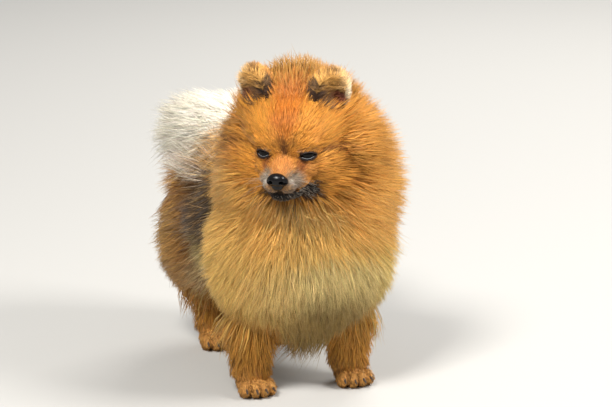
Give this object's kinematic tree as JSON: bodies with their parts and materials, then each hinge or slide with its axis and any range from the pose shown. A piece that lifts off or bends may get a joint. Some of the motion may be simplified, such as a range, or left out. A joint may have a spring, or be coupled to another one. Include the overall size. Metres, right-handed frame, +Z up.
{
  "type": "still pomeranian dog model",
  "caption": "Life-size standing Pomeranian with its head turned to its right, round trimmed ears, full ruff and tail fanned over its back.",
  "frame": {"origin": "on the floor under the middle of the dog's outer box", "axes": "+Z up; the dog's body faces -Y, and its left side is +X"},
  "size_m": [0.2018, 0.3234, 0.3259],
  "materials": {
    "orange_coat": "bright orange fur",
    "body_coat": "orange to cream fur with a dark grey saddle",
    "white_coat": "cream white plumed fur",
    "leg_coat": "orange red fur",
    "chin_coat": "short dark fur and lip",
    "black_skin": "moist, pebbled",
    "claw_horn": "smooth horn",
    "eye": "wet and glossy"
  },
  "bodies": {
    "root": {"claw_fore_left_1": "claw_horn", "claw_fore_left_2": "claw_horn", "claw_fore_left_3": "claw_horn", "claw_fore_left_4": "claw_horn", "claw_fore_right_1": "claw_horn", "claw_fore_right_2": "claw_horn", "claw_fore_right_3": "claw_horn", "claw_fore_right_4": "claw_horn", "claw_hind_left_1": "claw_horn", "claw_hind_left_2": "claw_horn", "claw_hind_left_3": "claw_horn", "claw_hind_left_4": "claw_horn", "claw_hind_right_1": "claw_horn", "claw_hind_right_2": "claw_horn", "claw_hind_right_3": "claw_horn", "claw_hind_right_4": "claw_horn", "ear_left": "orange_coat", "ear_right": "orange_coat", "eye_left": "eye", "eye_right": "eye", "foreleg_left": "leg_coat", "foreleg_right": "leg_coat", "head": "orange_coat", "hindleg_left": "leg_coat", "hindleg_right": "leg_coat", "lower_jaw": "chin_coat", "neck": "orange_coat", "nose": "black_skin", "tail": "white_coat", "torso": "body_coat"}
  },
  "joints": []
}
